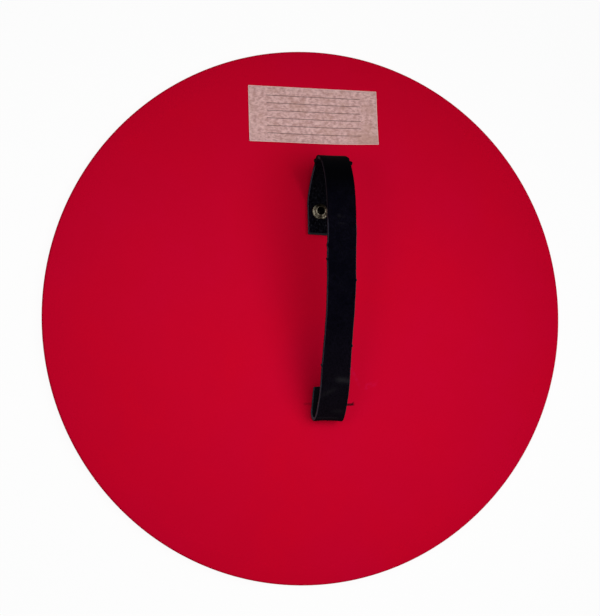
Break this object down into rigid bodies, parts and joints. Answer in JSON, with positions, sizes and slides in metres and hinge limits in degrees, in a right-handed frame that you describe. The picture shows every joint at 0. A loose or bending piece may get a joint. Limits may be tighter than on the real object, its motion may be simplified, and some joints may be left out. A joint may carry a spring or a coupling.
{
  "type": "toy shield",
  "caption": "Round red painted toy shield, back up, with a riveted leather hand strap that leans and can be pressed flatter, and a blank paper label.",
  "frame": {"origin": "middle of the board's front face, which lies on the ground", "axes": "+Z out of the back of the shield, on the strap's side; +Y along the strap towards the label; +X to the right of the label"},
  "size_m": [0.32, 0.32, 0.0544],
  "materials": {
    "red_paint": "satin paint",
    "kraft_paper": "matte paper",
    "black_leather": "smooth outside, rough inside",
    "aged_brass": "aged"
  },
  "bodies": {
    "shield": {"shield_board": "red_paint", "paper_label": "kraft_paper", "strap_upper_tab": "black_leather", "strap_lower_tab": "black_leather", "upper_rivet": "aged_brass", "lower_rivet": "aged_brass"},
    "loop": {"strap_upper_bend": "black_leather"},
    "grip": {"strap_grip": "black_leather"}
  },
  "joints": [
    {"name": "grip_lean", "type": "hinge", "parent": "shield", "child": "loop", "pos_m": [0, -0.05169, 0.023], "axis": [0, 0.9976, -0.0697], "range_deg": [-30, 30], "stiffness_Nm_per_rad": 0.06},
    {"name": "grip_press", "type": "hinge", "parent": "loop", "child": "grip", "pos_m": [0, -0.05169, 0.023], "axis": [-1, 0, 0], "range_deg": [-4, 12], "stiffness_Nm_per_rad": 0.8, "deforming": ["strap_upper_bend"]}
  ]
}
